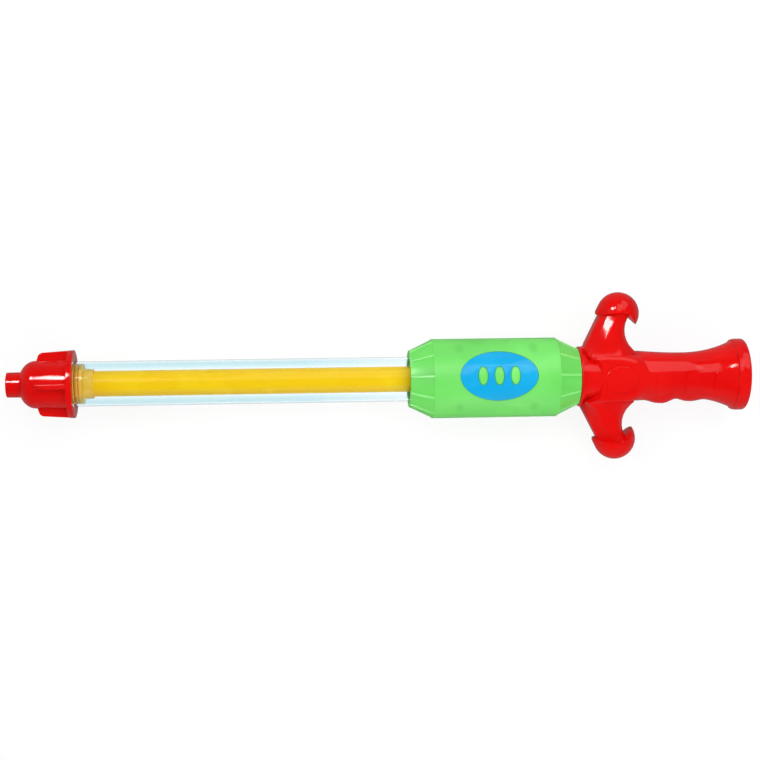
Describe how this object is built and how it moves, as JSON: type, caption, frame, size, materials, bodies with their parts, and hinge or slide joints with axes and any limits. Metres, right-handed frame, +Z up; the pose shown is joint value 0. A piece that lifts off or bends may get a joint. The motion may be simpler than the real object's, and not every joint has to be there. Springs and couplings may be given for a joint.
{
  "type": "water squirter",
  "caption": "Hand-pumped water squirter: clear tube barrel with finned nozzle cap, plunger rod, ribbed foregrip sleeve with oval inlays, and a sword handle with a hooked guard.",
  "frame": {"origin": "under the middle of the object's length, on the surface that it lies on (the barrel axis is half a sleeve diameter above it)", "axes": "+X along the barrel from the nozzle to the pommel, +Y towards the thumb side of the guard (the finger humps face -Y), +Z up, the way the picture is taken from"},
  "size_m": [0.5771, 0.1314, 0.062],
  "materials": {
    "clear_plastic": "clear rigid plastic with a pale blue tint",
    "red_plastic": "glossy moulded red",
    "green_plastic": "slightly translucent moulded light green",
    "blue_plastic": "glossy moulded sky blue",
    "yellow_plastic": "glossy yellow",
    "amber_plastic": "slightly translucent amber yellow",
    "white_plastic": "plain natural white",
    "black_rubber": "soft black",
    "tan_rubber": "greased tan",
    "screw_steel": "bright zinc"
  },
  "bodies": {
    "barrel": {"barrel_tube": "clear_plastic", "nozzle_cap": "red_plastic", "nozzle_washer": "black_rubber", "rod_guide": "white_plastic", "sleeve_upper_shell": "green_plastic", "sleeve_lower_shell": "green_plastic", "inlay_upper": "blue_plastic", "inlay_lower": "blue_plastic", "sleeve_screws": "screw_steel"},
    "seal": {"front_seal": "tan_rubber", "rear_seal": "tan_rubber"},
    "plunger": {"piston_head": "amber_plastic", "piston_screw": "screw_steel", "rod_front_plug": "white_plastic", "plunger_rod": "yellow_plastic", "rod_rear_plug": "white_plastic", "rod_cross_pin": "screw_steel", "handle_upper_shell": "red_plastic", "handle_lower_shell": "red_plastic", "handle_screws": "screw_steel"}
  },
  "joints": [
    {"name": "plunger_slide", "type": "slide", "parent": "barrel", "child": "seal", "axis": [1, 0, 0], "range_m": [0, 0.35]},
    {"name": "plunger_turn", "type": "hinge", "parent": "seal", "child": "plunger", "pos_m": [0, 0, 0.031], "axis": [1, 0, 0], "continuous": true}
  ]
}
